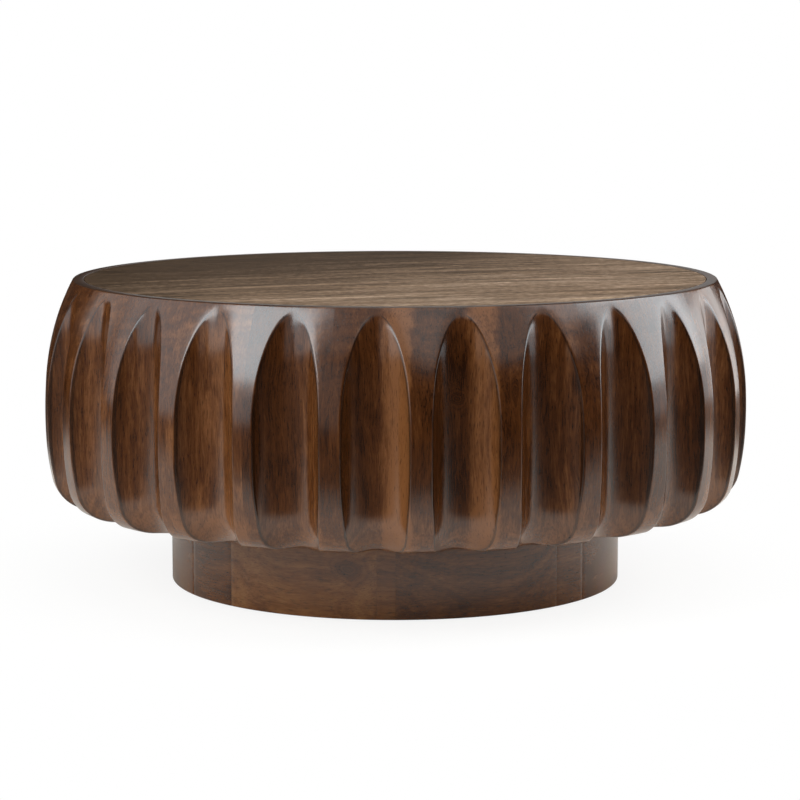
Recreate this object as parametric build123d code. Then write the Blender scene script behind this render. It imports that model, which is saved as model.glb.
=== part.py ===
from build123d import *
import os
from math import atan2, cos, degrees, radians, sin, sqrt

# A round drum table in millimetres. +Z is up and the floor is Z = 0. The drum's axis is the Z axis and
# the front of the table faces -Y. Angles round the table count from the front, towards +X.

# Whole drum, glued up from staves and turned to a barrel
DRUM_DIAMETER = 914.0           # across the widest level
DRUM_HEIGHT = 288.8             # from the underside to the rim
WIDEST_LEVEL = 119.8            # above the underside
TOP_INSET = 39.8                # how far the rim's edge lies inside the widest radius
WAIST_RADIUS = 590.0            # curve of the barrel at its widest level
WAIST_HALF_HEIGHT = 29.0        # how far that curve runs above and below the widest level
UNDERSIDE_ROUNDING = 46.0       # from the side round to the underside
RIM_ROUNDING = 2.5              # softened outer edge of the rim

# Flutes, each carved by a round cutter. It starts near the rim with its path leaning in, as the barrel
# does, then runs straight down and turns in under the drum.
FLUTE_COUNT = 27
FIRST_RIDGE_ANGLE = 3.9         # the ridge nearest to the front
FLUTE_RADIUS = 43.7
FLUTE_DEPTH = 29.5              # below the widest radius
FLUTE_LEAN_RADIUS = 270.0       # of the flute's floor, where it leans in
FLUTE_LEAN_LENGTH = 66.0        # from the start of that lean up to the rim
FLUTE_TURN_RADIUS = 48.0        # of the flute's floor, where it turns in
FLUTE_RUNOUT = 1.5              # how far that turn runs out below the underside
FLUTE_WALL = 47.3               # wood left behind the flute's floor

# Loose splines in the stave joints
SPLINE_THICKNESS = 4.0
SPLINE_WIDTH = 20.0
SPLINE_LENGTH = 180.0
SPLINE_INSET = 18.0             # from the staves' inner face
SPLINE_CLEARANCE = 0.15

# Top, a veneered board let into a rebate in the rim
RIM_WIDTH = 13.5
PANEL_GAP = 0.9                 # shadow line between the board and the rim
CORE_THICKNESS = 17.0
VENEER_THICKNESS = 1.0
VENEER_BEVEL = 0.8
BATTEN_WIDTH = 70.0
BATTEN_DEPTH = 30.0
BATTEN_OFFSET = 180.0           # from the middle of the table to the middle of a batten

# Plywood hoops inside the staves, and the drum's floor
HOOP_WIDTH = 50.0
HOOP_THICKNESS = 18.0
FLOOR_THICKNESS = 18.0
GLUE_GAP = 0.3                  # between curved faces that are glued

# Plinth, a ring of blocks glued up from boards of uneven length
PLINTH_DIAMETER = 587.0
PLINTH_HEIGHT = 105.2
PLINTH_WALL = 40.0
PLINTH_ROUNDING = 1.2           # softened lower outer edge
PLINTH_JOINT_ANGLES = (-60.4, -43.9, -4.3, 0.2, 43.3, 53.4, 88.0,
                       118.0, 131.0, 168.0, 176.0, 209.0, 251.0, 268.0)
PLATE_THICKNESS = 15.0
GLUE_BLOCK_COUNT = 8
GLUE_BLOCK_WIDTH = 60.0
GLUE_BLOCK_DEPTH = 30.0
GLUE_BLOCK_HEIGHT = 45.0

# Felt pads under the plinth
PAD_COUNT = 8
PAD_DIAMETER = 24.0
PAD_THICKNESS = 2.0
PAD_INSET = 27.0                 # from the plinth's face to the middle of a pad

# Wood screws
SCREW_DIAMETER = 4.5
SCREW_HEAD_DIAMETER = 9.0
SCREW_HEAD_RIM = 0.4            # straight edge of the countersunk head
SCREW_TIP_LENGTH = 4.0
SCREW_CLEARANCE = 0.1
SCREW_BITE = 12.0               # length of thread in the second piece
RING_SCREW_COUNT = 12
PLATE_SCREW_COUNT = 8
BATTEN_SCREW_COUNT = 4
FLOOR_SCREW_INSET = 25.0        # from the staves' inner face to the hoops' screws
PLATE_SCREW_INSET = 60.0        # from the plate's edge
BATTEN_SCREW_SPACING = 140.0

# Levels and radii that follow
PITCH = 360 / FLUTE_COUNT
UNDERSIDE = PAD_THICKNESS + PLINTH_HEIGHT
TOP = UNDERSIDE + DRUM_HEIGHT
WIDEST = UNDERSIDE + WIDEST_LEVEL
SHELF = TOP - VENEER_THICKNESS - CORE_THICKNESS
CORE_TOP = SHELF + CORE_THICKNESS
FLOOR_TOP = UNDERSIDE + FLOOR_THICKNESS
DRUM_RADIUS = DRUM_DIAMETER / 2
TOP_RADIUS = DRUM_RADIUS - TOP_INSET
FLUTE_FLOOR_RADIUS = DRUM_RADIUS - FLUTE_DEPTH
INNER_RADIUS = FLUTE_FLOOR_RADIUS - FLUTE_WALL
REBATE_RADIUS = TOP_RADIUS - RIM_WIDTH
PANEL_RADIUS = REBATE_RADIUS - PANEL_GAP
HOOP_RADIUS = INNER_RADIUS - GLUE_GAP
PLINTH_RADIUS = PLINTH_DIAMETER / 2
PLINTH_INNER_RADIUS = PLINTH_RADIUS - PLINTH_WALL
PLATE_RADIUS = PLINTH_INNER_RADIUS - GLUE_GAP
SCREW_RING_RADIUS = INNER_RADIUS - FLOOR_SCREW_INSET
PLATE_SCREW_RADIUS = PLATE_RADIUS - PLATE_SCREW_INSET


def turned(shape, angle):
    """The shape, made along +X, turned to an angle round the table that counts from the front."""
    return Rot(0, 0, angle - 90) * shape


def on_arc(centre, radius, angle):
    """The point at an angle, in degrees from +X towards +Z, on an arc in the XZ plane."""
    return centre[0] + radius * cos(radians(angle)), 0, centre[1] + radius * sin(radians(angle))


def arc(centre, radius, start, end):
    """An arc in the XZ plane."""
    points = [on_arc(centre, radius, angle) for angle in (start, (start + end) / 2, end)]
    return ThreePointArc(*points)


def run(start, end):
    """A straight edge in the XZ plane between two points of radius and level."""
    return Line((start[0], 0, start[1]), (end[0], 0, end[1]))


def edge_rounding(centre, radius, level, rounding, side):
    """Centre of a rounding between an arc and a flat face, and the angle at which it meets the arc."""
    height = level - side * rounding
    reach = centre[0] + sqrt((radius - rounding) ** 2 - (height - centre[1]) ** 2)
    return (reach, height), degrees(atan2(height - centre[1], reach - centre[0]))


def drum_section():
    """Section of the drum wall before carving: barrel curve outside, rebate for the top inside."""
    waist_centre = (DRUM_RADIUS - WAIST_RADIUS, WIDEST)
    waist_angle = degrees(atan2(WAIST_HALF_HEIGHT, sqrt(WAIST_RADIUS ** 2 - WAIST_HALF_HEIGHT ** 2)))
    joint = on_arc(waist_centre, WAIST_RADIUS, waist_angle)
    across = TOP_RADIUS - joint[0]
    up = TOP - joint[2]
    # The shoulder leaves the waist curve without a corner and passes through the rim's edge.
    slope = across * cos(radians(waist_angle)) + up * sin(radians(waist_angle))
    shoulder_radius = -(across ** 2 + up ** 2) / (2 * slope)
    upper = on_arc((joint[0], joint[2]), -shoulder_radius, waist_angle)
    upper_centre = (upper[0], upper[2])
    lower_centre = (upper[0], 2 * WIDEST - upper[2])
    rim, rim_angle = edge_rounding(upper_centre, shoulder_radius, TOP, RIM_ROUNDING, 1)
    hem, hem_angle = edge_rounding(lower_centre, shoulder_radius, UNDERSIDE, UNDERSIDE_ROUNDING, -1)
    edges = [
        run((INNER_RADIUS, UNDERSIDE), (hem[0], UNDERSIDE)),
        arc(hem, UNDERSIDE_ROUNDING, -90, hem_angle),
        arc(lower_centre, shoulder_radius, hem_angle, -waist_angle),
        arc(waist_centre, WAIST_RADIUS, -waist_angle, waist_angle),
        arc(upper_centre, shoulder_radius, waist_angle, rim_angle),
        arc(rim, RIM_ROUNDING, rim_angle, 90),
        run((rim[0], TOP), (REBATE_RADIUS, TOP)),
        run((REBATE_RADIUS, TOP), (REBATE_RADIUS, SHELF)),
        run((REBATE_RADIUS, SHELF), (INNER_RADIUS, SHELF)),
        run((INNER_RADIUS, SHELF), (INNER_RADIUS, UNDERSIDE)),
    ]
    return Face(Wire(edges))


def flute_cutter():
    """The path of the round cutter along +X: a lean in at the top, straight down, a quarter turn in."""
    turn_level = UNDERSIDE + FLUTE_TURN_RADIUS - FLUTE_RUNOUT
    lean_level = TOP - FLUTE_LEAN_LENGTH
    low = Pos(FLUTE_FLOOR_RADIUS + FLUTE_RADIUS, 0, turn_level) * Circle(FLUTE_RADIUS)
    high = Pos(FLUTE_FLOOR_RADIUS + FLUTE_RADIUS, 0, lean_level) * Circle(FLUTE_RADIUS)
    straight = extrude(low, amount=lean_level - turn_level)
    turn_axis = Axis((FLUTE_FLOOR_RADIUS - FLUTE_TURN_RADIUS, 0, turn_level), (0, 1, 0))
    lean_axis = Axis((FLUTE_FLOOR_RADIUS - FLUTE_LEAN_RADIUS, 0, lean_level), (0, -1, 0))
    return straight + revolve(low, turn_axis, 90) + revolve(high, lean_axis, 45)


def spline(clearance=0.0):
    """A loose spline across a stave joint that lies along +X, or its groove."""
    size = [length + 2 * clearance for length in (SPLINE_THICKNESS, SPLINE_WIDTH, SPLINE_LENGTH)]
    return Pos(INNER_RADIUS + SPLINE_INSET, 0, (UNDERSIDE + SHELF) / 2) * Box(*size)


def stave():
    """One stave with its middle along +X: a wedge of the drum wall, its flute and half of two grooves."""
    wedge = Rot(0, 0, -PITCH / 2) * revolve(drum_section(), Axis.Z, PITCH)
    grooves = [Rot(0, 0, side * PITCH / 2) * spline(SPLINE_CLEARANCE) for side in (-1, 1)]
    return wedge - flute_cutter() - grooves


def disc(radius, base, thickness):
    """A round board with its underside at a level."""
    return Pos(0, 0, base) * Cylinder(radius, thickness, align=(Align.CENTER, Align.CENTER, Align.MIN))


def screw(head_level, length, clearance=0.0):
    """A countersunk screw that points up from its head, or the hole that it is driven into."""
    shank = SCREW_DIAMETER / 2 + clearance
    head = SCREW_HEAD_DIAMETER / 2 + clearance
    rim_level = head_level + SCREW_HEAD_RIM
    tip_level = head_level + length
    corners = [
        (0, head_level - clearance),
        (head, head_level - clearance),
        (head, rim_level),
        (shank, rim_level + head - shank),
        (shank, tip_level - SCREW_TIP_LENGTH),
        (0, tip_level + clearance),
    ]
    edges = [run(corners[k - 1], corners[k]) for k in range(len(corners))]
    return revolve(Face(Wire(edges)), Axis.Z, 360)


def ring_of(shape, radius, count):
    """Copies of a shape, evenly spaced on a circle, with the first one half a step from the front."""
    return [turned(Pos(radius, 0, 0) * shape, (k + 0.5) * 360 / count) for k in range(count)]


def batten_places():
    """Screw places along one batten."""
    middle = (BATTEN_SCREW_COUNT - 1) / 2
    return [(k - middle) * BATTEN_SCREW_SPACING for k in range(BATTEN_SCREW_COUNT)]


def top_screws(clearance=0.0):
    """Screws up through the upper hoop into the core board."""
    one = screw(SHELF - HOOP_THICKNESS, HOOP_THICKNESS + SCREW_BITE, clearance)
    return ring_of(one, SCREW_RING_RADIUS, RING_SCREW_COUNT)


def batten_screws(side, clearance=0.0):
    """Screws up through the batten on one side into the core board."""
    one = screw(SHELF - BATTEN_DEPTH, BATTEN_DEPTH + SCREW_BITE, clearance)
    return [Pos(side * BATTEN_OFFSET, place, 0) * one for place in batten_places()]


def floor_screws(clearance=0.0):
    """Screws up through the drum's floor into the lower hoop."""
    one = screw(UNDERSIDE, FLOOR_THICKNESS + SCREW_BITE, clearance)
    return ring_of(one, SCREW_RING_RADIUS, RING_SCREW_COUNT)


def plinth_screws(clearance=0.0):
    """Screws up through the plinth's plate into the drum's floor."""
    one = screw(UNDERSIDE - PLATE_THICKNESS, PLATE_THICKNESS + SCREW_BITE, clearance)
    return ring_of(one, PLATE_SCREW_RADIUS, PLATE_SCREW_COUNT)


def top_core():
    """The board under the veneer, with pilot holes for the screws of the hoop and the battens."""
    hoop_holes = top_screws(SCREW_CLEARANCE)
    batten_holes = batten_screws(-1, SCREW_CLEARANCE) + batten_screws(1, SCREW_CLEARANCE)
    return disc(PANEL_RADIUS, SHELF, CORE_THICKNESS) - hoop_holes - batten_holes


def top_veneer():
    """The sheet that shows on top, with a small bevel round its upper edge."""
    sheet = disc(PANEL_RADIUS, CORE_TOP, VENEER_THICKNESS)
    return chamfer(sheet.edges().group_by(Axis.Z)[-1], min(VENEER_BEVEL, 0.9 * VENEER_THICKNESS))


def batten(side):
    """A batten under the core board, cut to fit between the sides of the upper hoop."""
    reach = HOOP_RADIUS - HOOP_WIDTH - GLUE_GAP
    middle = Pos(side * BATTEN_OFFSET, 0, SHELF - BATTEN_DEPTH / 2)
    bar = middle * Box(BATTEN_WIDTH, 2 * reach, BATTEN_DEPTH)
    fitted = bar & disc(reach, SHELF - BATTEN_DEPTH, BATTEN_DEPTH)
    return fitted - batten_screws(side, SCREW_CLEARANCE)


def hoop(base, screws):
    """A plywood hoop inside the staves, drilled for a ring of screws."""
    bore = disc(HOOP_RADIUS - HOOP_WIDTH, base, HOOP_THICKNESS)
    return disc(HOOP_RADIUS, base, HOOP_THICKNESS) - bore - screws


def drum_floor():
    """The board that closes the drum below."""
    holes = floor_screws(SCREW_CLEARANCE) + plinth_screws(SCREW_CLEARANCE)
    return disc(HOOP_RADIUS, UNDERSIDE, FLOOR_THICKNESS) - holes


def plinth_block(start, end):
    """One block of the plinth's ring between two joints."""
    middle = Pos((PLINTH_RADIUS + PLINTH_INNER_RADIUS) / 2, 0, PAD_THICKNESS + PLINTH_HEIGHT / 2)
    section = middle * (Plane.XZ * Rectangle(PLINTH_WALL, PLINTH_HEIGHT))
    low_edge = section.vertices().sort_by_distance((PLINTH_RADIUS, 0, PAD_THICKNESS))[0]
    section = fillet(low_edge, PLINTH_ROUNDING)
    return turned(revolve(section, Axis.Z, end - start), start)


def plinth_plate():
    """The plate inside the top of the plinth's ring."""
    return disc(PLATE_RADIUS, UNDERSIDE - PLATE_THICKNESS, PLATE_THICKNESS) - plinth_screws(SCREW_CLEARANCE)


def plinth_glue_blocks():
    """Blocks in the corner between the plate and the ring, with their backs shaped to the ring."""
    base = UNDERSIDE - PLATE_THICKNESS - GLUE_BLOCK_HEIGHT
    middle = Pos(PLATE_RADIUS - GLUE_BLOCK_DEPTH / 2, 0, base + GLUE_BLOCK_HEIGHT / 2)
    block = middle * Box(GLUE_BLOCK_DEPTH, GLUE_BLOCK_WIDTH, GLUE_BLOCK_HEIGHT)
    shaped = block & disc(PLATE_RADIUS, base, GLUE_BLOCK_HEIGHT)
    return ring_of(shaped, 0, GLUE_BLOCK_COUNT)


def felt_pads():
    """Pads under the plinth's wall, set back from its face so that they don't show."""
    return ring_of(disc(PAD_DIAMETER / 2, 0, PAD_THICKNESS), PLINTH_RADIUS - PAD_INSET, PAD_COUNT)


def save(name, shape):
    """Write one sub-part, or a group of like pieces, to its own file."""
    if isinstance(shape, list):
        shape = Compound(children=[solid for piece in shape for solid in piece.solids()])
    export_step(shape, f"parts/{name}.step")


os.makedirs("parts", exist_ok=True)

one_stave = stave()
for k in range(FLUTE_COUNT):
    save(f"stave_{k + 1:02d}", turned(one_stave, FIRST_RIDGE_ANGLE + (k + 0.5) * PITCH))
save("stave_splines", [turned(spline(), FIRST_RIDGE_ANGLE + k * PITCH) for k in range(FLUTE_COUNT)])

save("top_core", top_core())
save("top_veneer", top_veneer())
save("batten_left", batten(-1))
save("batten_right", batten(1))
save("upper_hoop", hoop(SHELF - HOOP_THICKNESS, top_screws(SCREW_CLEARANCE)))
save("lower_hoop", hoop(FLOOR_TOP, floor_screws(SCREW_CLEARANCE)))
save("drum_floor", drum_floor())

joints = PLINTH_JOINT_ANGLES + (PLINTH_JOINT_ANGLES[0] + 360,)
for k in range(len(PLINTH_JOINT_ANGLES)):
    save(f"plinth_block_{k + 1:02d}", plinth_block(joints[k], joints[k + 1]))
save("plinth_plate", plinth_plate())
save("plinth_glue_blocks", plinth_glue_blocks())
save("felt_pads", felt_pads())

save("top_screws", top_screws())
save("batten_screws", batten_screws(-1) + batten_screws(1))
save("floor_screws", floor_screws())
save("plinth_screws", plinth_screws())
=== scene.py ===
import math

import bmesh
import bpy
import numpy as np
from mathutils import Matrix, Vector


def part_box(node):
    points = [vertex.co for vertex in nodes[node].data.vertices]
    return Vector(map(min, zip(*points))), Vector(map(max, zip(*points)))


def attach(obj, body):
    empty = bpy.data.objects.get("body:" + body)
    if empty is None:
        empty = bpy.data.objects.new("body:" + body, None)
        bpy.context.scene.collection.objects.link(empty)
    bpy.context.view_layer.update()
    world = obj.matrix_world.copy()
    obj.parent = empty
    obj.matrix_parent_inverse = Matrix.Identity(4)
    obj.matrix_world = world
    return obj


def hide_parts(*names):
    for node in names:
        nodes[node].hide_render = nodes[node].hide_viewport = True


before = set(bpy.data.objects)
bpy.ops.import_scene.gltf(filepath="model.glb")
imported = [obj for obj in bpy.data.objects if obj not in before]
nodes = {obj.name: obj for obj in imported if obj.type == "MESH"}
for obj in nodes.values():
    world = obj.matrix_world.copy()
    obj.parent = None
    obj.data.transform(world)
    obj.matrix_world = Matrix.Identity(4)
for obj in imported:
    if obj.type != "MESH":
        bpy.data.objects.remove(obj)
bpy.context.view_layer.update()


# ---- Camera ----------------------------------------------------------------------------------------
# The viewer stands about three and a half metres in front of the table, in its middle, and looks a
# little down on it.

CAMERA_PLACE = (0.0064, -3.454, 0.6988)
CAMERA_PITCH = math.radians(7.69)
CAMERA_LENS = 119.5
CAMERA_FRAME = 36.0

camera = bpy.data.objects.new("camera", bpy.data.cameras.new("camera"))
camera.data.lens = CAMERA_LENS
camera.data.sensor_width = CAMERA_FRAME
camera.location = CAMERA_PLACE
camera.rotation_euler = (math.pi / 2 - CAMERA_PITCH, 0, 0)
bpy.context.scene.collection.objects.link(camera)
bpy.context.scene.camera = camera


# ---- Studio ----------------------------------------------------------------------------------------
# A ring of soft boxes, the brightest in front at the left and at the right, and one above. The floor is
# pale in a strip under the table and the room is nearly dark. The white round the table is only for
# what the camera sees, so it puts no light on the wood.

WHITE = (1, 1, 1, 1)
FLOOR_REACH = 9.0
FLOOR_TINT = (0.98, 0.93, 0.86)
FLOOR_PALE = 0.88
FLOOR_DARK = 0.08
FLOOR_FADE = (0.66, 1.15)           # where the pale strip begins to darken, and where it is dark
FLOOR_STRIP = (0.42, 1.0, 1.0)      # the strip is longer from left to right
SHADOW_FADE = (0.25, 0.70)          # where the shadow begins to pale for the camera, and where it ends
SHADOW_WHITE = 0.86                 # how much of that shadow is plain white
ROOM_LEVEL = 0.02
LAMP_DISTANCE = 2.7
LAMP_HEIGHT = 0.2                   # of the point that the soft boxes face
COOL = (0.93, 1.0, 1.04)
WARM = (0.99, 0.985, 0.975)


def node_in(tree, kind, settings=None, values=None):
    """Adds a node; values fills its inputs, by name or number, with plain values or other outputs."""
    node = tree.nodes.new(kind)
    for name, value in (settings or {}).items():
        setattr(node, name, value)
    for name, value in (values or {}).items():
        if isinstance(value, bpy.types.NodeSocket):
            tree.links.new(value, node.inputs[name])
        else:
            node.inputs[name].default_value = value
    return node


def sum_of(tree, operation, *values):
    """What a Math node makes of some numbers."""
    return node_in(tree, "ShaderNodeMath", {"operation": operation}, dict(enumerate(values))).outputs[0]


def vector_of(tree, operation, *values):
    """What a Vector Math node makes of some vectors: a number for a length, and else a vector."""
    made = node_in(tree, "ShaderNodeVectorMath", {"operation": operation}, dict(enumerate(values)))
    return made.outputs["Value" if operation == "LENGTH" else "Vector"]


def eased(tree, value, start, end, first, last):
    """A number that runs smoothly from first to last while value runs from start to end."""
    made = node_in(tree, "ShaderNodeMapRange", {"interpolation_type": "SMOOTHSTEP"},
                   {"Value": value, "From Min": start, "From Max": end,
                    "To Min": first, "To Max": last})
    return made.outputs["Result"]


def own_place(tree):
    """A point's own place, in metres."""
    return node_in(tree, "ShaderNodeTexCoord").outputs["Object"]


def empty_material(name):
    """A material with an empty node tree, and that tree with its output node."""
    material = bpy.data.materials.new(name)
    material.use_nodes = True
    material.node_tree.nodes.clear()
    return material, material.node_tree, material.node_tree.nodes.new("ShaderNodeOutputMaterial")


def floor_material():
    """Pale near the table and dimmer far out; the camera sees white beyond the table's shadow."""
    material, tree, output = empty_material("studio_floor")
    place = own_place(tree)
    strip = vector_of(tree, "LENGTH", vector_of(tree, "MULTIPLY", place, FLOOR_STRIP))
    level = eased(tree, strip, *FLOOR_FADE, FLOOR_PALE, FLOOR_DARK)
    tint = node_in(tree, "ShaderNodeVectorMath", {"operation": "SCALE"},
                   {0: FLOOR_TINT, "Scale": level})
    seen = node_in(tree, "ShaderNodeLightPath").outputs["Is Camera Ray"]
    far = eased(tree, vector_of(tree, "LENGTH", place), *SHADOW_FADE, SHADOW_WHITE, 1.0)
    share = sum_of(tree, "MULTIPLY", seen, far)
    matt = node_in(tree, "ShaderNodeBsdfDiffuse", None, {"Color": tint.outputs[0]})
    white = node_in(tree, "ShaderNodeEmission", None, {"Color": WHITE, "Strength": 1.0})
    mix = node_in(tree, "ShaderNodeMixShader", None,
                  {"Fac": share, 1: matt.outputs[0], 2: white.outputs[0]})
    tree.links.new(mix.outputs[0], output.inputs["Surface"])
    return material


def soft_box(name, azimuth, elevation, size, level, colour=WARM):
    """A rectangular lamp that faces the table; azimuth 0 is the front and 90 the right. The level is
    how bright its face is, whatever its size."""
    side, up = math.radians(azimuth), math.radians(elevation)
    away = Vector((math.sin(side) * math.cos(up), -math.cos(side) * math.cos(up), math.sin(up)))
    data = bpy.data.lights.new(name, "AREA")
    data.shape = "RECTANGLE"
    data.size, data.size_y = size
    data.energy = level * size[0] * size[1] * math.pi
    data.color = colour
    light = bpy.data.objects.new(name, data)
    light.location = away * LAMP_DISTANCE + Vector((0, 0, LAMP_HEIGHT))
    light.rotation_euler = away.to_track_quat("Z", "Y").to_euler()
    bpy.context.scene.collection.objects.link(light)


floor_mesh = bpy.data.meshes.new("studio_floor")
corners = [(-FLOOR_REACH, -FLOOR_REACH, 0), (FLOOR_REACH, -FLOOR_REACH, 0),
           (FLOOR_REACH, FLOOR_REACH, 0), (-FLOOR_REACH, FLOOR_REACH, 0)]
floor_mesh.from_pydata(corners, [], [(0, 1, 2, 3)])
floor_mesh.materials.append(floor_material())
floor = bpy.data.objects.new("studio_floor", floor_mesh)
bpy.context.scene.collection.objects.link(floor)

world = bpy.data.worlds.new("room")
world.use_nodes = True
bpy.context.scene.world = world
room = world.node_tree
room.nodes.clear()
seen = node_in(room, "ShaderNodeLightPath").outputs["Is Camera Ray"]
dark = node_in(room, "ShaderNodeBackground", None, {"Color": WHITE, "Strength": ROOM_LEVEL})
white = node_in(room, "ShaderNodeBackground", None, {"Color": WHITE, "Strength": 1.0})
either = node_in(room, "ShaderNodeMixShader", None,
                 {"Fac": seen, 1: dark.outputs[0], 2: white.outputs[0]})
room_output = room.nodes.new("ShaderNodeOutputWorld")
room.links.new(either.outputs[0], room_output.inputs["Surface"])

soft_box("soft_box_left", -68, 23, (3.2, 2.3), 1.7, COOL)
soft_box("soft_box_left_core", -45, 31, (1.3, 1.6), 7.2, COOL)
soft_box("soft_box_left_edge", -112, 24, (0.9, 1.2), 1.0)
soft_box("soft_box_left_low", -22, 12, (0.9, 1.2), 0.6)
soft_box("soft_box_left_high", -8, 42, (2.2, 1.4), 0.7)
soft_box("soft_box_front_high", 34, 40, (2.5, 1.6), 1.0)
soft_box("soft_box_right_high", 78, 46, (1.9, 1.1), 2.1, COOL)
soft_box("soft_box_right", 98, 22, (2.6, 2.4), 1.5, COOL)
soft_box("soft_box_right_core", 95, 25, (1.8, 1.7), 4.5, COOL)
soft_box("soft_box_right_edge", 128, 6, (1.2, 1.1), 2.0)
soft_box("soft_box_above", 0, 84, (2.0, 1.4), 3.15)
soft_box("soft_box_back", 176, 11, (1.6, 0.7), 0.55)

bpy.context.scene.view_settings.view_transform = "Standard"


# ---- Drum wall -------------------------------------------------------------------------------------
# 27 staves of solid wood, glued into a barrel, turned, and carved with one flute each by a round cutter
# that leans in near the rim, runs straight down and turns in under the drum. The arrises are sanded
# soft. A dark line of painted shade runs inside them, painted light pales the right walls of some
# flutes, and painted light from the floor pales the drum towards its underside.

STAVE_COUNT = 27
FIRST_RIDGE = math.radians(3.9)     # the ridge nearest to the front
DRUM_RADIUS = 0.457                 # at the widest level
TOP_RADIUS = 0.4172
INNER_RADIUS = 0.3802
REBATE_RADIUS = 0.4037              # the rebate that the top drops into
REBATE_DEPTH = 0.018
WIDEST_ABOVE_UNDERSIDE = 0.1198
WAIST_RADIUS = 0.590                # curve of the barrel at the widest level
WAIST_HALF_HEIGHT = 0.029
UNDERSIDE_ROUNDING = 0.046
RIM_ROUNDING = 0.0025
RIM_EASING = 0.0008                 # inner edge of the rim
ARCH_BAND = 0.022                   # under the rim, where the flutes' arches need closer steps
FLUTE_RADIUS = 0.0437
FLUTE_FLOOR_RADIUS = 0.4275         # of the flute's floor, about the drum's axis
FLUTE_LEAN_RADIUS = 0.270
FLUTE_LEAN_LENGTH = 0.066
FLUTE_TURN_RADIUS = 0.048
FLUTE_RUNOUT = 0.0015
DEEPEST_CUT = 0.045                 # more than a flute takes off anywhere
HALVINGS = 32                       # of a range in which a surface or an edge is looked for
ARRIS_SOFTNESS = 0.0018
ARRIS_BAND = 0.0022                 # to each side of an arris, where the mesh is fine
ARRIS_SHADE_COLUMNS = (8.5, 10, 13, 14)   # of the mesh, from a flute's middle: where the painted shade line fades in and out
CORNER_ANGLE = math.radians(30)     # a sharper edge stays crisp

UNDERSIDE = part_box("stave_01")[0].z
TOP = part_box("stave_01")[1].z
PITCH = 2 * math.pi / STAVE_COUNT

# Tones are dark, middle and light. A stave's tone shift makes the whole stave lighter or darker at
# random, and on the staves in front it is also painted shade that darkens their flutes. On the right
# wall of some flutes painted light is added to it, as if the lamps at the left lit them. A knot has its
# place on the table, and its size.
STAVE_TONES = ((0.021, 0.0056, 0.0013), (0.064, 0.0196, 0.0047), (0.146, 0.0545, 0.0172))
STAVE_TONE_AND_PAINTED_SHADE = (-1.3, -0.7, -0.7, -0.7, 0.3, -0.4, 0.5, 0.0, -0.6, 0.4, -0.1, 0.6, -0.5, 0.2,
                -0.3, 0.5, 0.0, -0.6, 0.3, -0.2, 0.5, -0.4, 0.1, -0.3, 0.3, -1.1, -0.9)
# Painted light: how much paler the right wall of each stave's flute is drawn, as if lit from the left.
STAVE_PAINTED_LIGHT_SIDES = {0: 3.3, 26: 4.1, 25: 1.4, 24: 0.6, 1: 0.7, 2: 0.4, 9: 0.8, 14: 1.1, 18: 0.6}
PAINTED_LIGHT_SPAN = (0.003, 0.016, 0.038, 0.041)    # right of a flute's middle: where the painted light fades in and out
STAVE_SHIFT = (0.05, 0.05, 4.0)     # how far one stave's grain may lie from another's
STAVE_ROUGHNESS = 0.18
STAVE_KNOTS = (((0.072, -0.424, 0.290), (0.014, 0.02, 0.015)),
               ((-0.109, -0.416, 0.349), (0.006, 0.02, 0.007)),
               ((0.1385, -0.430, 0.300), (0.007, 0.03, 0.030)),
               ((-0.305, 0.300, 0.250), (0.012, 0.02, 0.018)))
PAINTED_FLOOR_LIGHT = (UNDERSIDE + 0.012, UNDERSIDE + 0.080, 0.095)    # painted light from the floor: where it is full, where it is gone, how much it pales
RIM_LEVEL = TOP - 0.0006
RIM_TONE = (0.026, 0.017, 0.012, 1)
RIM_TONE_SHARE = 0.7
RIM_DULLNESS = 0.13
# Painted shade: a dark line drawn along the foot of each arris, and its share.
ARRIS_PAINTED_SHADE = (0.006, 0.003, 0.002, 1)
ARRIS_PAINTED_SHADE_SHARE = 0.6

# Figures in the stained wood: how many to a metre, stretch by axis, detail, roughness and twist. Rings,
# streaks, fibres and clouds add up to a tone, each by its share. The stops say where in it the colours
# lie, and where pores and veins, which darken them, begin and are full.
GRAIN_WANDER = (0.022, 0.022, 0.0)
WANDERS_PER_METRE = 7.0
HEART_TO_BLANK = (0.085, 0.02)      # the growth rings centre on the tree's heart
RINGS_PER_METRE = 150.0
STREAKS = (170.0, (1, 1, 14), 3.0, 0.6)
FIBRES = (560.0, (1, 1, 11), 2.0, 0.6)
CLOUDS = (20.0, (1, 1, 1.6), 4.0, 0.62)
PORES = (900.0, (1, 1, 9), 1.0)
VEINS = (95.0, (1, 1, 6), 3.0, 0.6, 0.3)
BASE_TONE = 0.025
RING_SHARE = 0.18
STREAK_SHARE = 0.24
FIBRE_SHARE = 0.26
CLOUD_SHARE = 0.27
TONE_AND_PAINTED_LIGHT_SHARE = 0.05
TONE_STOPS = (0.37, 0.50, 0.64)
PORE_STOPS = ((0.60, 1.0), (0.69, 0.30))
PORE_SHARE = 0.75
VEIN_STOPS = ((0.64, 1.0), (0.75, 0.30))
VEIN_SHARE = 0.7
DULL_SHARE = 0.06                   # of the fibres and the clouds in the lacquer's roughness
LACQUER_BUMP = (0.08, 0.0005)       # strength, and depth in metres

# Distances in a knot count in its own size. Its edge wanders and fades between two of them, and its
# tone rises from the heart outwards.
KNOT_WANDER = 0.9
KNOT_EDGE = (0.25, 1.45)
KNOT_SHARE = 0.85
KNOT_RINGS = 6.5
KNOT_HEART_TONE = 0.11
KNOT_RING_SHARE = 0.50
KNOT_RISE = 0.16


def arc_stations(centre, radius, start, end, count):
    """Radius, level and outward normal at even steps along an arc of the drum's section."""
    angles = np.linspace(start, end, count)
    return [(centre[0] + radius * math.cos(a), centre[1] + radius * math.sin(a),
             math.cos(a), math.sin(a)) for a in angles]


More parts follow.
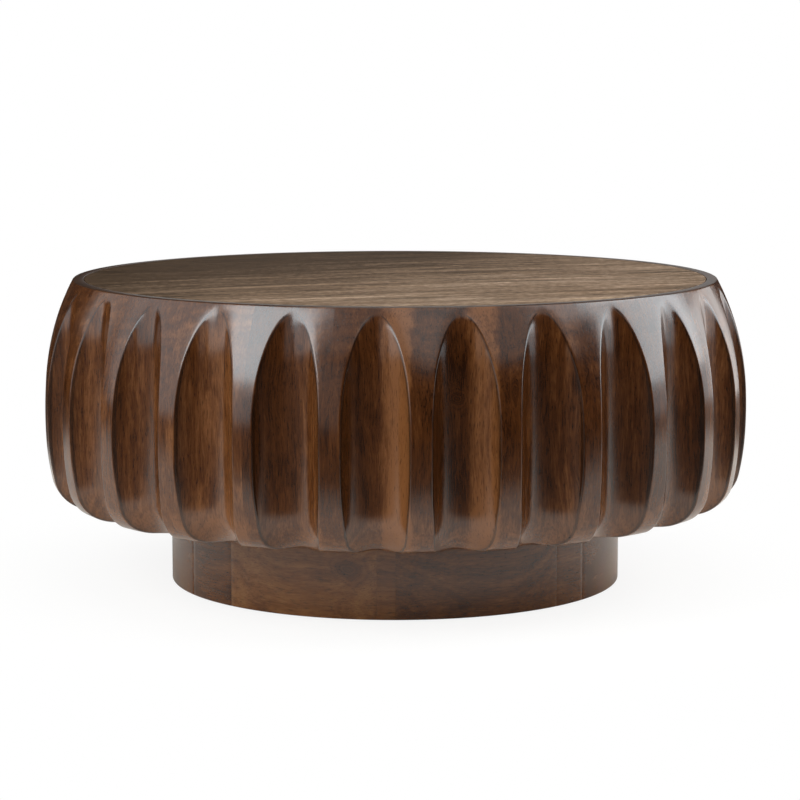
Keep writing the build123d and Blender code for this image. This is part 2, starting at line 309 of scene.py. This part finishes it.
def rounding_centre(centre, radius, level, rounding, side):
    """Centre of a rounding between an arc and a flat face, and the angle at which it meets the arc."""
    height = level - side * rounding
    reach = centre[0] + math.sqrt((radius - rounding) ** 2 - (height - centre[1]) ** 2)
    return (reach, height), math.atan2(height - centre[1], reach - centre[0])


def drum_stations():
    """The drum's section before carving, from its inner lower edge outside and up to the rebate."""
    widest = UNDERSIDE + WIDEST_ABOVE_UNDERSIDE
    waist = (DRUM_RADIUS - WAIST_RADIUS, widest)
    turn = math.asin(WAIST_HALF_HEIGHT / WAIST_RADIUS)
    joint = (waist[0] + WAIST_RADIUS * math.cos(turn), waist[1] + WAIST_RADIUS * math.sin(turn))
    across, up = TOP_RADIUS - joint[0], TOP - joint[1]
    shoulder = -(across ** 2 + up ** 2) / (2 * (across * math.cos(turn) + up * math.sin(turn)))
    upper = (joint[0] - shoulder * math.cos(turn), joint[1] - shoulder * math.sin(turn))
    lower = (upper[0], 2 * widest - upper[1])
    rim, rim_angle = rounding_centre(upper, shoulder, TOP, RIM_ROUNDING, 1)
    hem, hem_angle = rounding_centre(lower, shoulder, UNDERSIDE, UNDERSIDE_ROUNDING, -1)
    arch_angle = rim_angle - ARCH_BAND / shoulder
    stations = [(r, UNDERSIDE, 0.0, -1.0) for r in np.linspace(INNER_RADIUS, hem[0], 6)[:-1]]
    stations += arc_stations(hem, UNDERSIDE_ROUNDING, -math.pi / 2, hem_angle, 18)
    stations += arc_stations(lower, shoulder, hem_angle, -turn, 10)[1:]
    stations += arc_stations(waist, WAIST_RADIUS, -turn, turn, 7)[1:]
    stations += arc_stations(upper, shoulder, turn, arch_angle, 17)[1:]
    stations += arc_stations(upper, shoulder, arch_angle, rim_angle, 17)[1:]
    stations += arc_stations(rim, RIM_ROUNDING, rim_angle, math.pi / 2, 6)[1:]
    easing = (REBATE_RADIUS + RIM_EASING, TOP - RIM_EASING)
    stations += arc_stations(easing, RIM_EASING, math.pi / 2, math.pi, 4)
    return stations


def cutter_distance(x, y, z):
    """How far a point lies outside the round cutter's path, whose middle plane is y = 0."""
    out = x - FLUTE_FLOOR_RADIUS
    low = UNDERSIDE + FLUTE_TURN_RADIUS - FLUTE_RUNOUT
    high = TOP - FLUTE_LEAN_LENGTH
    turning = np.hypot(np.maximum(out + FLUTE_TURN_RADIUS, 0), z - low) - FLUTE_TURN_RADIUS
    leaning = np.hypot(out + FLUTE_LEAN_RADIUS, z - high) - FLUTE_LEAN_RADIUS
    out = np.where(z < low, turning, np.where(z > high, leaning, out))
    return np.hypot(out - FLUTE_RADIUS, y) - FLUTE_RADIUS


def at(station, angle, depth=0.0):
    """The point at an angle and a depth under the barrel's surface."""
    r, z, out, rise = (station[:, k:k + 1] for k in range(4))
    reach = r - depth * out
    return reach * np.cos(angle), reach * np.sin(angle), z - depth * rise


def carved_depth(station, angle):
    """Depth of the carved surface under the barrel's, with the arris between them softened."""
    low, high = np.zeros_like(angle), np.full_like(angle, DEEPEST_CUT)
    for _ in range(HALVINGS):
        middle = (low + high) / 2
        inside = -cutter_distance(*at(station, angle, middle))
        lap = np.maximum(ARRIS_SOFTNESS - np.abs(inside + middle), 0) / ARRIS_SOFTNESS
        surface = np.maximum(inside, -middle) + lap ** 2 * ARRIS_SOFTNESS / 4
        low, high = np.where(surface > 0, middle, low), np.where(surface > 0, high, middle)
    on_rim = (station[:, 1:2] > TOP - RIM_ROUNDING) & (station[:, 0:1] < TOP_RADIUS - RIM_ROUNDING)
    return np.where(on_rim, 0.0, (low + high) / 2)


def flute_half_angle(station):
    """Half the flute's width at each station, as an angle, found by halving."""
    low, high = np.zeros((len(station), 1)), np.full((len(station), 1), PITCH / 2)
    for _ in range(HALVINGS):
        middle = (low + high) / 2
        cut = cutter_distance(*at(station, middle)) < 0
        low, high = np.where(cut, middle, low), np.where(cut, high, middle)
    return low


def closed(mesh):
    """Smooth faces with crisp corners, all facing outwards."""
    shape = bmesh.new()
    shape.from_mesh(mesh)
    bmesh.ops.recalc_face_normals(shape, faces=shape.faces)
    for face in shape.faces:
        face.smooth = True
    for edge in shape.edges:
        edge.smooth = edge.calc_face_angle(0) < CORNER_ANGLE
    shape.to_mesh(mesh)
    shape.free()
    return mesh


def grid_faces(rows, columns, row_steps, column_steps):
    """Four-sided faces over a grid of points, which can join the last row or column to the first."""
    return [(i * columns + j, i * columns + (j + 1) % columns,
             (i + 1) % rows * columns + (j + 1) % columns, (i + 1) % rows * columns + j)
            for i in range(row_steps) for j in range(column_steps)]


def noted(mesh, name, values):
    """Notes one number for each point of a mesh, for its material to read."""
    note = mesh.attributes.new(name, "FLOAT", "POINT")
    note.data.foreach_set("value", np.asarray(values, np.float32))


def stave_mesh():
    """One stave about +X: its columns follow the arris, so that the softened edge is even."""
    station = np.array(drum_stations())
    band = ARRIS_BAND / DRUM_RADIUS
    half = np.clip(flute_half_angle(station), 2.5 * band, PITCH / 2 - 2 * band)
    inner = [half * share - band * share for share in np.linspace(0, 1, 10)[:-1]]
    edge = [half + band * share for share in np.linspace(-1, 1, 9)]
    outer = [half + band + (PITCH / 2 - half - band) * share for share in (0.33, 0.66, 1)]
    right = np.concatenate(inner + edge + outer, axis=1)
    angle = np.concatenate([-right[:, :0:-1], right], axis=1)
    x, y, z = at(station, angle, carved_depth(station, angle))
    shelf = TOP - REBATE_DEPTH
    for r in (REBATE_RADIUS, INNER_RADIUS):
        x = np.vstack([x, r * np.cos(angle[-1:])])
        y = np.vstack([y, r * np.sin(angle[-1:])])
        z = np.vstack([z, np.full_like(angle[-1:], shelf)])
    rows, columns = x.shape
    points = np.stack([x, y, z], axis=-1).reshape(-1, 3)
    faces = grid_faces(rows, columns, rows, columns - 1)
    faces.append([i * columns for i in range(rows)])
    faces.append([i * columns + columns - 1 for i in reversed(range(rows))])
    mesh = bpy.data.meshes.new("stave")
    mesh.from_pydata(points.tolist(), [], faces)
    # Painted shade: a dark line drawn along the foot of each arris, inside the flute.
    foot = np.interp(np.abs(np.arange(columns) - columns // 2), ARRIS_SHADE_COLUMNS, (0, 1, 1, 0))
    carved = (half[:, 0] > 3 * band)[np.r_[0:len(station), -1, -1]]
    noted(mesh, "painted_arris_shade", (carved[:, None] * foot).ravel())
    return closed(mesh)


def staves_tree():
    """Geometry nodes that stand copies of one stave round the drum and number them."""
    tree = bpy.data.node_groups.new("staves_round_the_drum", "GeometryNodeTree")
    tree.interface.new_socket("Stave", in_out="INPUT", socket_type="NodeSocketGeometry")
    tree.interface.new_socket("Count", in_out="INPUT", socket_type="NodeSocketInt")
    tree.interface.new_socket("First stave", in_out="INPUT", socket_type="NodeSocketFloat")
    tree.interface.new_socket("Wood", in_out="INPUT", socket_type="NodeSocketMaterial")
    tree.interface.new_socket("Drum wall", in_out="OUTPUT", socket_type="NodeSocketGeometry")
    given = tree.nodes.new("NodeGroupInput").outputs
    place = node_in(tree, "GeometryNodeInputPosition").outputs[0]
    blank = node_in(tree, "GeometryNodeStoreNamedAttribute",
                    {"data_type": "FLOAT_VECTOR", "domain": "POINT"},
                    {"Geometry": given["Stave"], "Name": "blank", "Value": place})
    points = node_in(tree, "GeometryNodePoints", None, {"Count": given["Count"]})
    number = node_in(tree, "GeometryNodeInputIndex").outputs[0]
    step = sum_of(tree, "DIVIDE", 2 * math.pi, given["Count"])
    turn = sum_of(tree, "MULTIPLY_ADD", number, step, given["First stave"])
    turned = node_in(tree, "ShaderNodeCombineXYZ", None, {"Z": turn}).outputs[0]
    copies = node_in(tree, "GeometryNodeInstanceOnPoints", None,
                     {"Points": points.outputs[0], "Instance": blank.outputs[0], "Rotation": turned})
    counted = node_in(tree, "GeometryNodeStoreNamedAttribute",
                      {"data_type": "FLOAT", "domain": "INSTANCE"},
                      {"Geometry": copies.outputs[0], "Name": "stave_number", "Value": number})
    real = node_in(tree, "GeometryNodeRealizeInstances", None, {0: counted.outputs[0]})
    finished = node_in(tree, "GeometryNodeSetMaterial", None,
                       {"Geometry": real.outputs[0], "Material": given["Wood"]})
    output = tree.nodes.new("NodeGroupOutput")
    tree.links.new(finished.outputs[0], output.inputs[0])
    return tree


def grown(name, source, tree, values):
    """A plain mesh that a geometry node tree makes from a source mesh, its inputs set by name."""
    maker = bpy.data.objects.new(name + "_maker", source)
    bpy.context.scene.collection.objects.link(maker)
    modifier = maker.modifiers.new("make", "NODES")
    modifier.node_group = tree
    sockets = {item.name: item.identifier for item in tree.interface.items_tree}
    for key, value in values.items():
        modifier[sockets[key]] = value
    graph = bpy.context.evaluated_depsgraph_get()
    mesh = bpy.data.meshes.new_from_object(maker.evaluated_get(graph))
    maker.modifiers.remove(modifier)
    bpy.data.objects.remove(maker)
    piece = bpy.data.objects.new(name, mesh)
    bpy.context.scene.collection.objects.link(piece)
    return piece


def noise(tree, place, scale, stretch=(1, 1, 1), detail=2.0, roughness=0.5, distortion=0.0):
    """Noise on a place in metres; scale is per metre, and stretch divides it by axis."""
    fit = vector_of(tree, "MULTIPLY", place, tuple(scale / s for s in stretch))
    made = node_in(tree, "ShaderNodeTexNoise", None,
                   {"Vector": fit, "Scale": 1.0, "Detail": detail, "Roughness": roughness,
                    "Distortion": distortion})
    return made.outputs[0]


def ramp(tree, value, *stops):
    """A colour ramp; each stop is a position and a grey level or a colour."""
    made = node_in(tree, "ShaderNodeValToRGB", None, {0: value})
    elements = made.color_ramp.elements
    while len(elements) < len(stops):
        elements.new(0.5)
    for element, (position, colour) in zip(elements, stops):
        element.position = position
        element.color = (colour,) * 3 + (1,) if isinstance(colour, (int, float)) else (*colour, 1)
    return made.outputs[0]


def mixed(tree, share, first, second, blend="MIX"):
    """Two colours mixed."""
    made = node_in(tree, "ShaderNodeMix", {"data_type": "RGBA", "blend_type": blend},
                   {0: share, 6: first, 7: second})
    return made.outputs[2]


def blended(tree, base, *figures):
    """A number to which figures are added, each with its own share."""
    for figure, share in figures:
        base = sum_of(tree, "MULTIPLY_ADD", figure, share, base)
    return base


def bumped(tree, height, strength, distance):
    """Normals that follow a pattern's height, up to a distance in metres."""
    values = {"Strength": strength, "Distance": distance, "Height": height}
    return node_in(tree, "ShaderNodeBump", None, values).outputs[0]


def surfaced(tree, output, values):
    """Gives a material its surface: one Principled shader."""
    shader = node_in(tree, "ShaderNodeBsdfPrincipled", None, values)
    tree.links.new(shader.outputs[0], output.inputs["Surface"])


def rings_at(tree, distance, scale, detail):
    """Uneven rings that follow a distance."""
    return node_in(tree, "ShaderNodeTexNoise", {"noise_dimensions": "1D"},
                   {"W": distance, "Scale": scale, "Detail": detail, "Roughness": 0.6}).outputs[0]


def knot(tree, place, centre, size):
    """How much of a knot shows at a place, and the tone of its rings, dark at the heart."""
    away = vector_of(tree, "DIVIDE", vector_of(tree, "SUBTRACT", place, centre), size)
    uneven = node_in(tree, "ShaderNodeTexNoise", None, {"Vector": away, "Scale": 1.1, "Detail": 2.0})
    distance = sum_of(tree, "SUBTRACT", vector_of(tree, "LENGTH", away), KNOT_WANDER / 2)
    distance = blended(tree, distance, (uneven.outputs[0], KNOT_WANDER))
    share = eased(tree, distance, *KNOT_EDGE, KNOT_SHARE, 0.0)
    rings = rings_at(tree, distance, KNOT_RINGS, 2.0)
    return share, blended(tree, KNOT_HEART_TONE, (rings, KNOT_RING_SHARE), (distance, KNOT_RISE))


def wandering(tree, place):
    """A place in the blank, moved a little so that the grain wanders."""
    cloud = node_in(tree, "ShaderNodeTexNoise", None, {"Vector": place, "Scale": WANDERS_PER_METRE})
    either_way = vector_of(tree, "SUBTRACT", cloud.outputs["Color"], (0.5, 0.5, 0.5))
    return vector_of(tree, "MULTIPLY_ADD", either_way, GRAIN_WANDER, place)


def growth_rings(tree, place):
    """The tree's rings, round a heart that lies beside the blank."""
    split = node_in(tree, "ShaderNodeSeparateXYZ", None, {0: place})
    away = [sum_of(tree, "ADD", split.outputs[axis], HEART_TO_BLANK[axis]) for axis in (0, 1)]
    square = sum_of(tree, "ADD", *(sum_of(tree, "MULTIPLY", side, side) for side in away))
    return rings_at(tree, sum_of(tree, "SQRT", square), RINGS_PER_METRE, 3.0)


def blank_of(tree, number_name, shift):
    """A place in a board's own blank, shifted by the board's own chance amount, and its tone shift,
    which on the drum wall also holds painted light and shade.
    """
    blank = node_in(tree, "ShaderNodeAttribute", {"attribute_name": "blank"}).outputs["Vector"]
    number = node_in(tree, "ShaderNodeAttribute", {"attribute_name": number_name}).outputs["Fac"]
    chance = node_in(tree, "ShaderNodeTexWhiteNoise", {"noise_dimensions": "1D"}, {"W": number})
    place = vector_of(tree, "MULTIPLY_ADD", chance.outputs["Color"], shift, blank)
    return place, node_in(tree, "ShaderNodeAttribute", {"attribute_name": "tone_and_painted_light"}).outputs["Fac"]


def stained_wood(name, number_name, shift, tones, roughness, knots, hem=None, rim=None):
    """Brown-stained, lacquered wood with its grain along each blank's Z. A hem adds painted light from
    the floor, paler towards the bottom, a dark line of painted shade runs by the arrises where the mesh
    notes it, and above the level rim the wood is darker and its lacquer duller."""
    material, tree, output = empty_material(name)
    place, tone_and_painted_light = blank_of(tree, number_name, shift)
    bent = wandering(tree, place)
    rings = growth_rings(tree, bent)
    streaks = noise(tree, bent, *STREAKS)
    fibres = noise(tree, bent, *FIBRES)
    clouds = noise(tree, place, *CLOUDS)
    tone = blended(tree, BASE_TONE, (streaks, STREAK_SHARE), (rings, RING_SHARE), (fibres, FIBRE_SHARE),
                   (clouds, CLOUD_SHARE), (tone_and_painted_light, TONE_AND_PAINTED_LIGHT_SHARE))
    where = own_place(tree)
    level = node_in(tree, "ShaderNodeSeparateXYZ", None, {0: where}).outputs["Z"]
    for centre, size in knots:
        share, ring_tone = knot(tree, where, centre, size)
        tone = node_in(tree, "ShaderNodeMix", None, {0: share, 2: tone, 3: ring_tone}).outputs[0]
    # Painted light from the floor: the tone rises towards the bottom of the drum.
    if hem:
        low, high, floor_light_lift = hem
        tone = sum_of(tree, "ADD", tone, eased(tree, level, low, high, floor_light_lift, 0.0))
    colour = ramp(tree, tone, *zip(TONE_STOPS, tones))
    pores = ramp(tree, noise(tree, bent, *PORES), *PORE_STOPS)
    colour = mixed(tree, PORE_SHARE, colour, pores, "MULTIPLY")
    veins = ramp(tree, noise(tree, bent, *VEINS), *VEIN_STOPS)
    colour = mixed(tree, VEIN_SHARE, colour, veins, "MULTIPLY")
    # Painted shade: a dark line along the foot of each arris.
    foot = node_in(tree, "ShaderNodeAttribute", {"attribute_name": "painted_arris_shade"}).outputs["Fac"]
    colour = mixed(tree, sum_of(tree, "MULTIPLY", foot, ARRIS_PAINTED_SHADE_SHARE), colour, ARRIS_PAINTED_SHADE)
    dull = blended(tree, roughness - DULL_SHARE, (fibres, DULL_SHARE), (clouds, DULL_SHARE))
    if rim:
        above = sum_of(tree, "GREATER_THAN", level, rim)
        dull = blended(tree, dull, (above, RIM_DULLNESS))
        colour = mixed(tree, sum_of(tree, "MULTIPLY", above, RIM_TONE_SHARE), colour, RIM_TONE)
    height = blended(tree, 0.0, (fibres, 0.4), (pores, 0.6))
    surfaced(tree, output, {"Base Color": colour, "Roughness": dull, "IOR": 1.5,
                            "Normal": bumped(tree, height, *LACQUER_BUMP)})
    return material


stave_wood = stained_wood("stained_stave_wood", "stave_number", STAVE_SHIFT, STAVE_TONES,
                          STAVE_ROUGHNESS, STAVE_KNOTS, PAINTED_FLOOR_LIGHT, RIM_LEVEL)
first_stave = FIRST_RIDGE + PITCH / 2 - math.pi / 2
drum_wall = grown("carved_staves", stave_mesh(), staves_tree(),
                  {"Count": STAVE_COUNT, "First stave": first_stave, "Wood": stave_wood})
count = len(drum_wall.data.vertices)
numbers, places = np.empty(count, np.float32), np.empty(count * 3, np.float32)
drum_wall.data.attributes["stave_number"].data.foreach_get("value", numbers)
drum_wall.data.attributes["blank"].data.foreach_get("vector", places)
numbers = np.rint(numbers).astype(int)
# Painted light on the right walls of some flutes, added to each stave's tone shift, which is partly
# painted shade.
painted_light_sides = np.array([STAVE_PAINTED_LIGHT_SIDES.get(k, 0.0) for k in range(STAVE_COUNT)])
painted_light = painted_light_sides[numbers] * np.interp(places[1::3], PAINTED_LIGHT_SPAN, (0, 1, 1, 0))
noted(drum_wall.data, "tone_and_painted_light", np.array(STAVE_TONE_AND_PAINTED_SHADE)[numbers] + painted_light)
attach(drum_wall, "root")
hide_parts(*[f"stave_{k + 1:02d}" for k in range(STAVE_COUNT)])


# ---- Plinth ----------------------------------------------------------------------------------------
# A ring glued up from fourteen short boards of uneven length, their grain level. It is turned true
# and its edges are eased, so that each glue joint shows as a hairline.

PLINTH_RADIUS = 0.2935
PLINTH_WALL = 0.040
PLINTH_ROUNDING = 0.0012
PLINTH_JOINT_EASING = 0.00025
PLINTH_STEP = 1.2                   # degrees of the ring to one face
PLINTH_JOINTS = (-60.4, -43.9, -4.3, 0.2, 43.3, 53.4, 88.0,
                 118.0, 131.0, 168.0, 176.0, 209.0, 251.0, 268.0)
PLINTH_TONES = ((0.034, 0.0085, 0.0013), (0.092, 0.0280, 0.0045), (0.165, 0.0660, 0.0175))
PLINTH_SHADES = (-0.8, 1.2, 0.3, -0.9, -0.1, -0.6, 0.7, 0.0, -0.9, 0.4, -0.3, 0.9, -0.7, 0.2)
PLINTH_SHIFT = (0.02, 0.03, 3.0)
PLINTH_ROUGHNESS = 0.23
PLINTH_KNOTS = (((0.268, -0.119, 0.075), (0.016, 0.022, 0.024)),
                ((-0.056, -0.288, 0.062), (0.030, 0.02, 0.021)))


def block_mesh(name, start, end):
    """One board of the ring between two angles that count from the front, with its blank's own axes."""
    low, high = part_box(name)[0].z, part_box(name)[1].z
    inner, middle_level = PLINTH_RADIUS - PLINTH_WALL, (low + high) / 2
    bend = [(PLINTH_RADIUS - PLINTH_ROUNDING * (1 - math.cos(a)),
             low + PLINTH_ROUNDING * (1 - math.sin(a))) for a in np.linspace(math.pi / 2, 0, 5)]
    section = [(inner, low), *bend, (PLINTH_RADIUS, middle_level), (PLINTH_RADIUS, high), (inner, high)]
    ease = PLINTH_JOINT_EASING / PLINTH_RADIUS
    steps = max(2, round(math.degrees(end - start) / PLINTH_STEP))
    angles = [start, *np.linspace(start + 2 * ease, end - 2 * ease, steps + 1), end]
    middle = (start + end) / 2
    points, blank = [], []
    for number, angle in enumerate(angles):
        shy = PLINTH_JOINT_EASING if number in (0, len(angles) - 1) else 0.0
        for r, z in section:
            reach = r - shy if r > inner else r
            points.append((reach * math.sin(angle), -reach * math.cos(angle), z))
            turn = angle - middle
            blank.append((reach * math.cos(turn) - PLINTH_RADIUS, z - middle_level,
                          reach * math.sin(turn)))
    count = len(section)
    faces = grid_faces(len(angles), count, len(angles) - 1, count)
    faces.append(list(range(count)))
    faces.append([len(points) - 1 - j for j in range(count)])
    mesh = bpy.data.meshes.new(name)
    mesh.from_pydata(points, [], faces)
    places = mesh.attributes.new("blank", "FLOAT_VECTOR", "POINT")
    places.data.foreach_set("vector", [value for place in blank for value in place])
    return mesh


def added(name, mesh, material, slot, *replaced):
    """Puts a finished mesh in the scene as a piece of the table."""
    mesh.materials.clear()
    mesh.materials.append(material)
    piece = bpy.data.objects.new(name, mesh)
    bpy.context.scene.collection.objects.link(piece)
    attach(piece, "root")
    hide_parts(*replaced)


plinth_wood = stained_wood("stained_plinth_wood", "block_number", PLINTH_SHIFT, PLINTH_TONES,
                           PLINTH_ROUGHNESS, PLINTH_KNOTS)
joints = [math.radians(a) for a in (*PLINTH_JOINTS, PLINTH_JOINTS[0] + 360)]
for k in range(len(PLINTH_JOINTS)):
    node = f"plinth_block_{k + 1:02d}"
    mesh = closed(block_mesh(node, joints[k], joints[k + 1]))
    noted(mesh, "block_number", [k + 1] * len(mesh.vertices))
    noted(mesh, "tone_and_painted_light", [PLINTH_SHADES[k]] * len(mesh.vertices))
    added(f"plinth_board_{k + 1:02d}", mesh, plinth_wood, "plinth_wood", node)


# ---- Top -------------------------------------------------------------------------------------------
# A sheet of open-pored veneer on a board that drops into the rim. Its edge has a small bevel and
# stands a hair's breadth away from the rim, which leaves a fine dark line round it.

PANEL_RADIUS = 0.4028
PANEL_BEVEL = 0.0008
PANEL_SIDES = 180
PANEL_RINGS = (0.1, 0.2, 0.3, 0.38)     # radii of its rings of faces, ahead of the bevel's
VENEER_TONES = ((0.051, 0.0307, 0.0174), (0.160, 0.1030, 0.0645), (0.340, 0.243, 0.170))
VENEER_ROUGHNESS = 0.60

# Figures in the veneer, as in the staves. Four of them add up to a tone. The pores darken its colour,
# and the seams are long lines that darken it or make it paler.
GRAIN_TILT = math.radians(20)
GRAIN_BEND = (0.0, 0.10, 0.0)
WAVES = (3.2, (2.5, 1, 1), 2.0)
BANDS = (26.0, (10, 1, 1), 3.0, 0.6)
LINES = (120.0, (13, 1, 1), 3.0, 0.65)
FLECKS = (300.0, (2.6, 1.5, 1), 2.0, 0.6)
VENEER_FIBRES = (700.0, (14, 1, 1), 2.0, 0.6)
SEAMS = (66.0, (17, 1, 1), 2.0, 0.5)
VENEER_PORES = (420.0, (9, 1, 1), 2.0, 0.6)
BAND_SHARE = 0.17
LINE_SHARE = 0.30
FLECK_SHARE = 0.27
VENEER_FIBRE_SHARE = 0.16
VENEER_STOPS = (0.37, 0.50, 0.62)
SEAM_STOPS = ((0.35, 0.40), (0.42, 1.0), (0.60, 1.0), (0.66, 1.5))
SEAM_SHARE = 0.8
VENEER_PORE_STOPS = ((0.56, 1.0), (0.66, 0.25))
VENEER_PORE_SHARE = 0.8
VENEER_BUMP = (0.25, 0.0005)
PAINTED_LIGHT_TILT = -0.8                    # painted light: the leaf is drawn paler to the right and to the front, where it is lit
PAINTED_LIGHT_REACH = (-0.50, 0.24)
PAINTED_LIGHT_TONE = (-0.128, 0.061)


def panel_mesh():
    """A thin disc with a rounded bevel, its rings closer together towards the edge."""
    low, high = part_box("top_veneer")[0].z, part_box("top_veneer")[1].z
    flat = PANEL_RADIUS - PANEL_BEVEL
    ring = [(r, high) for r in (*PANEL_RINGS, flat - 0.001, flat)]
    ring += [(flat + PANEL_BEVEL * math.sin(a), high - PANEL_BEVEL * (1 - math.cos(a)))
             for a in np.linspace(0, math.pi / 2, 5)[1:]]
    ring += [(PANEL_RADIUS, low)] + [(r, low) for r in PANEL_RINGS[::-2]]
    turns = [2 * math.pi * k / PANEL_SIDES for k in range(PANEL_SIDES)]
    points = [(r * math.cos(a), r * math.sin(a), z) for r, z in ring for a in turns]
    faces = grid_faces(len(ring), PANEL_SIDES, len(ring) - 1, PANEL_SIDES)
    for first, level in ((0, high), (len(points) - PANEL_SIDES, low)):
        points.append((0, 0, level))
        faces += [(first + k, first + (k + 1) % PANEL_SIDES, len(points) - 1)
                  for k in range(PANEL_SIDES)]
    mesh = bpy.data.meshes.new("top_panel")
    mesh.from_pydata(points, [], faces)
    return closed(mesh)


def veneer_material():
    """Grey-brown veneer: pores, dark and pale lines along its grain, and painted light that makes the
    leaf paler to the right and to the front.
    """
    material, tree, output = empty_material("open_pored_veneer")
    place = own_place(tree)
    turned = node_in(tree, "ShaderNodeMapping", None,
                     {"Vector": place, "Rotation": (0, 0, -GRAIN_TILT)}).outputs[0]
    bent = vector_of(tree, "MULTIPLY_ADD", noise(tree, turned, *WAVES), GRAIN_BEND, turned)
    bands = noise(tree, bent, *BANDS)
    lines = noise(tree, bent, *LINES)
    flecks = noise(tree, bent, *FLECKS)
    fibres = noise(tree, bent, *VENEER_FIBRES)
    tone = blended(tree, 0.0, (lines, LINE_SHARE), (bands, BAND_SHARE), (flecks, FLECK_SHARE),
                   (fibres, VENEER_FIBRE_SHARE))
    # Painted light: the tone rises towards the right and the front, standing in for how the top is lit.
    split = node_in(tree, "ShaderNodeSeparateXYZ", None, {0: place})
    across = blended(tree, split.outputs["X"], (split.outputs["Y"], PAINTED_LIGHT_TILT))
    tone = sum_of(tree, "ADD", tone, eased(tree, across, *PAINTED_LIGHT_REACH, *PAINTED_LIGHT_TONE))
    colour = ramp(tree, tone, *zip(VENEER_STOPS, VENEER_TONES))
    seams = ramp(tree, noise(tree, bent, *SEAMS), *SEAM_STOPS)
    colour = mixed(tree, SEAM_SHARE, colour, seams, "MULTIPLY")
    pores = ramp(tree, noise(tree, bent, *VENEER_PORES), *VENEER_PORE_STOPS)
    colour = mixed(tree, VENEER_PORE_SHARE, colour, pores, "MULTIPLY")
    height = blended(tree, 0.0, (lines, 0.5), (pores, 0.7))
    surfaced(tree, output, {"Base Color": colour, "Roughness": VENEER_ROUGHNESS, "IOR": 1.45,
                            "Specular IOR Level": 0.06, "Normal": bumped(tree, height, *VENEER_BUMP)})
    return material


added("top_panel", panel_mesh(), veneer_material(), "top_veneer", "top_veneer")


# ---- Board, battens and hoops ----------------------------------------------------------------------
# The veneer lies on a brown fibreboard. Two hardwood battens and two plywood hoops hold it and the
# staves from inside. They are sealed in once the plywood floor is screwed on.

PLY_PAIR = 0.0030                   # thickness of two layers of the plywood


def board_material():
    """Pressed fibreboard, with fine pale and dark flecks."""
    material, tree, output = empty_material("fibreboard")
    flecks = noise(tree, own_place(tree), 900.0, (2, 2, 1), 3.0, 0.7)
    colour = ramp(tree, flecks, (0.3, (0.22, 0.13, 0.075)), (0.7, (0.36, 0.235, 0.15)))
    surfaced(tree, output, {"Base Color": colour, "Roughness": 0.78,
                            "Normal": bumped(tree, flecks, 0.2, 0.0003)})
    return material


def batten_material():
    """Planed pale hardwood with its grain along the battens."""
    material, tree, output = empty_material("planed_hardwood")
    place = own_place(tree)
    grain = noise(tree, place, 260.0, (1, 30, 1), 3.0, 0.6)
    bands = noise(tree, place, 40.0, (1, 12, 1), 2.0)
    tone = blended(tree, 0.0, (bands, 0.5), (grain, 0.5))
    colour = ramp(tree, tone, (0.35, (0.33, 0.19, 0.10)), (0.65, (0.52, 0.34, 0.20)))
    surfaced(tree, output, {"Base Color": colour, "Roughness": 0.62,
                            "Normal": bumped(tree, grain, 0.15, 0.0004)})
    return material


def plywood_material():
    """Birch plywood: thin layers whose grain runs by turns along and across."""
    material, tree, output = empty_material("birch_plywood")
    place = own_place(tree)
    split = node_in(tree, "ShaderNodeSeparateXYZ", None, {0: place})
    layer = sum_of(tree, "FRACT", sum_of(tree, "DIVIDE", split.outputs["Z"], PLY_PAIR))
    across = sum_of(tree, "GREATER_THAN", layer, 0.5)
    grain = noise(tree, place, 240.0, (24, 1, 1), 3.0, 0.6)
    cross = noise(tree, place, 240.0, (1, 24, 1), 3.0, 0.6)
    figure = node_in(tree, "ShaderNodeMix", None, {0: across, 2: grain, 3: cross}).outputs[0]
    face = ramp(tree, figure, (0.3, (0.46, 0.31, 0.185)), (0.7, (0.66, 0.49, 0.32)))
    glue = ramp(tree, layer, (0.02, 0.62), (0.06, 1.0), (0.49, 1.0), (0.51, 0.78), (0.98, 0.78))
    surfaced(tree, output, {"Base Color": mixed(tree, 1.0, face, glue, "MULTIPLY"), "Roughness": 0.66,
                            "Normal": bumped(tree, figure, 0.15, 0.0003)})
    return material


def finished(material, *names):
    """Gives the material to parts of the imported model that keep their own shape."""
    for name in names:
        for place in nodes[name].material_slots:
            place.material = material


finished(board_material(), "top_core")
finished(batten_material(), "batten_left", "batten_right")
finished(plywood_material(), "upper_hoop", "lower_hoop", "stave_splines", "drum_floor", "plinth_plate",
         "plinth_glue_blocks")


# ---- Screws and pads -------------------------------------------------------------------------------
# Zinc-plated wood screws that hold the boards together from inside, and round felt pads glued under
# the plinth to save the floor.

def screw_material():
    """Bright zinc, slightly mottled."""
    material, tree, output = empty_material("zinc_plate")
    mottle = noise(tree, own_place(tree), 1400.0, (1, 1, 1), 3.0, 0.6)
    colour = ramp(tree, mottle, (0.3, (0.50, 0.50, 0.49)), (0.7, (0.68, 0.67, 0.63)))
    surfaced(tree, output, {"Base Color": colour, "Roughness": blended(tree, 0.20, (mottle, 0.25)),
                            "Metallic": 1.0})
    return material


def felt_material():
    """Dark brown pressed felt."""
    material, tree, output = empty_material("brown_felt")
    fuzz = noise(tree, own_place(tree), 2600.0, (1, 1, 1), 3.0, 0.7)
    colour = ramp(tree, fuzz, (0.3, (0.020, 0.014, 0.011)), (0.7, (0.060, 0.044, 0.036)))
    surfaced(tree, output, {"Base Color": colour, "Roughness": 0.95, "Sheen Weight": 0.3,
                            "Sheen Roughness": 0.5, "Normal": bumped(tree, fuzz, 0.6, 0.0005)})
    return material


finished(screw_material(), "top_screws", "batten_screws", "floor_screws", "plinth_screws")
finished(felt_material(), "felt_pads")
